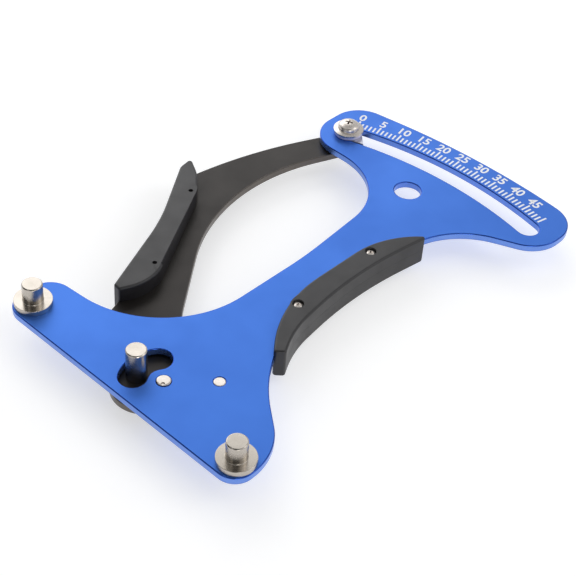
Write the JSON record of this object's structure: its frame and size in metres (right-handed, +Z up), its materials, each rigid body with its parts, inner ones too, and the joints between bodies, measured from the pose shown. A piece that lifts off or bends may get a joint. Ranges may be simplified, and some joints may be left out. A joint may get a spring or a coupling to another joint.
{
  "type": "bicycle spoke tension gauge",
  "caption": "Hand-held spoke tension gauge: flat frame with fixed posts and a curved scale, and a sprung lever with the middle post and pointer.",
  "frame": {"origin": "middle of the footprint's bounding box, on the plane under the pivot bolt's head", "axes": "+Z up, out of the scale face, +Y from the posts to the scale head, +X from the lever side to the frame's grip side"},
  "size_m": [0.1392, 0.2063, 0.0237],
  "materials": {
    "blue_anodised": "satin blue anodised",
    "dark_anodised": "satin dark grey hard anodised",
    "polished_post": "polished nickel plate",
    "plated_steel": "nickel-plated steel",
    "machined_steel": "machined",
    "spring_steel": "drawn wire",
    "acetal": "turned",
    "black_grip": "moulded satin"
  },
  "bodies": {
    "frame": {"frame_plate": "blue_anodised", "fixed_post_left": "polished_post", "fixed_post_right": "polished_post", "post_washers": "plated_steel", "post_screws": "plated_steel", "pivot_bolt": "plated_steel", "spring_spool": "acetal", "return_spring": "spring_steel", "frame_spring_peg": "plated_steel", "frame_grip_upper": "black_grip", "frame_grip_lower": "black_grip", "frame_grip_screws": "plated_steel"},
    "lever": {"lever_plate": "dark_anodised", "lever_bushing": "acetal", "middle_post": "polished_post", "middle_post_screw": "plated_steel", "lever_spring_peg": "plated_steel", "lever_grip_upper": "black_grip", "lever_grip_lower": "black_grip", "lever_grip_screws": "plated_steel", "pointer_block": "machined_steel", "pointer_washer": "plated_steel", "pointer_screw": "plated_steel", "pointer_nut": "plated_steel"}
  },
  "joints": [
    {"name": "lever_pivot", "type": "hinge", "parent": "frame", "child": "lever", "pos_m": [0.0171, -0.08675, 0.0086], "axis": [0, 0, 1], "range_deg": [-29, 0], "stiffness_Nm_per_rad": 1.2, "springref_deg": 57.3, "deforming": ["return_spring"]}
  ]
}
